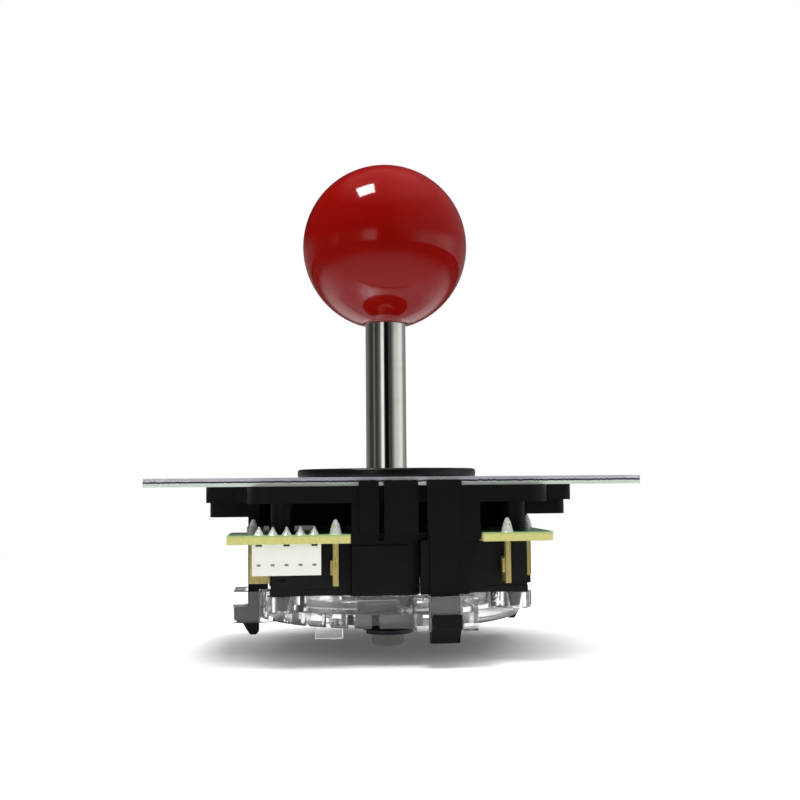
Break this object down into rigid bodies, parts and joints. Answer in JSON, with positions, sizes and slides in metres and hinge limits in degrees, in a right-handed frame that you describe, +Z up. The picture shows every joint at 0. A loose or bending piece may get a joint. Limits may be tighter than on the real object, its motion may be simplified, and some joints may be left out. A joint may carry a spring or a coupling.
{
  "type": "arcade joystick",
  "caption": "Ball-top arcade joystick: lever on a spherical pivot over switches on a circuit board, with a steel mounting plate and a clear restrictor gate below.",
  "frame": {"origin": "centre of the mounting plate's top face, on the lever's axis", "axes": "+Z up the lever to the ball; +X along the plate's long side; the connector is at the -X end of the -Y side"},
  "size_m": [0.095, 0.0626, 0.1014],
  "materials": {
    "ball_red": "polished, cast red plastic",
    "brass": "stamped and turned brass",
    "chrome": "polished",
    "nylon": "moulded natural nylon",
    "black_plastic": "satin moulded black plastic",
    "spring_steel": "drawn spring steel",
    "dark_steel": "blackened spring steel",
    "zinc_plate": "zinc plated sheet steel, blue passivated",
    "screw_steel": "zinc plated",
    "board": "glass laminate with a green mask and bare yellow edge",
    "solder": "bright solder",
    "ivory": "moulded ivory nylon",
    "clear_plastic": "clear moulded polycarbonate",
    "switch_black": "moulded black phenolic",
    "plunger_red": "moulded red plastic"
  },
  "bodies": {
    "base": {"centring_collar": "black_plastic", "dust_washer": "black_plastic", "mounting_plate": "zinc_plate", "plate_screws": "screw_steel", "housing": "black_plastic", "circuit_board": "board", "solder_joints": "solder", "connector_housing": "ivory", "connector_pins": "brass", "restrictor_gate": "clear_plastic", "gate_guide": "clear_plastic", "front_switch_case": "switch_black", "front_switch_cover": "switch_black", "front_blade": "spring_steel", "front_common_terminal": "brass", "front_open_terminal": "brass", "right_switch_case": "switch_black", "right_switch_cover": "switch_black", "right_blade": "spring_steel", "right_common_terminal": "brass", "right_open_terminal": "brass", "back_switch_case": "switch_black", "back_switch_cover": "switch_black", "back_blade": "spring_steel", "back_common_terminal": "brass", "back_open_terminal": "brass", "left_switch_case": "switch_black", "left_switch_cover": "switch_black", "left_blade": "spring_steel", "left_common_terminal": "brass", "left_open_terminal": "brass"},
    "return_spring": {"lever_spring": "spring_steel"},
    "lever": {"ball_top": "ball_red", "ball_insert": "brass", "lever_shaft": "chrome", "pivot_bush": "nylon", "actuator": "black_plastic", "e_ring": "dark_steel"},
    "front_button": {"front_plunger": "plunger_red"},
    "right_button": {"right_plunger": "plunger_red"},
    "back_button": {"back_plunger": "plunger_red"},
    "left_button": {"left_plunger": "plunger_red"}
  },
  "joints": [
    {"name": "tilt_x", "type": "hinge", "parent": "base", "child": "return_spring", "pos_m": [0, 0, -0.007], "axis": [1, 0, 0], "range_deg": [-8.5, 8.5], "stiffness_Nm_per_rad": 0.5, "deforming": ["lever_spring"]},
    {"name": "tilt_y", "type": "hinge", "parent": "return_spring", "child": "lever", "pos_m": [0, 0, -0.007], "axis": [0, 1, 0], "range_deg": [-8.5, 8.5], "stiffness_Nm_per_rad": 0.5, "deforming": ["lever_spring"]},
    {"name": "front_press", "type": "slide", "parent": "base", "child": "front_button", "axis": [0, -1, 0], "range_m": [-0.00126, 0.00126]},
    {"name": "right_press", "type": "slide", "parent": "base", "child": "right_button", "axis": [1, 0, 0], "range_m": [-0.00126, 0.00126]},
    {"name": "back_press", "type": "slide", "parent": "base", "child": "back_button", "axis": [0, 1, 0], "range_m": [-0.00126, 0.00126]},
    {"name": "left_press", "type": "slide", "parent": "base", "child": "left_button", "axis": [-1, 0, 0], "range_m": [-0.00126, 0.00126]}
  ],
  "couplings": [
    {"joint": "front_press", "follows": "tilt_x", "m_per_rad": -0.00843},
    {"joint": "right_press", "follows": "tilt_y", "m_per_rad": -0.00843},
    {"joint": "back_press", "follows": "tilt_x", "m_per_rad": 0.00843},
    {"joint": "left_press", "follows": "tilt_y", "m_per_rad": 0.00843}
  ]
}
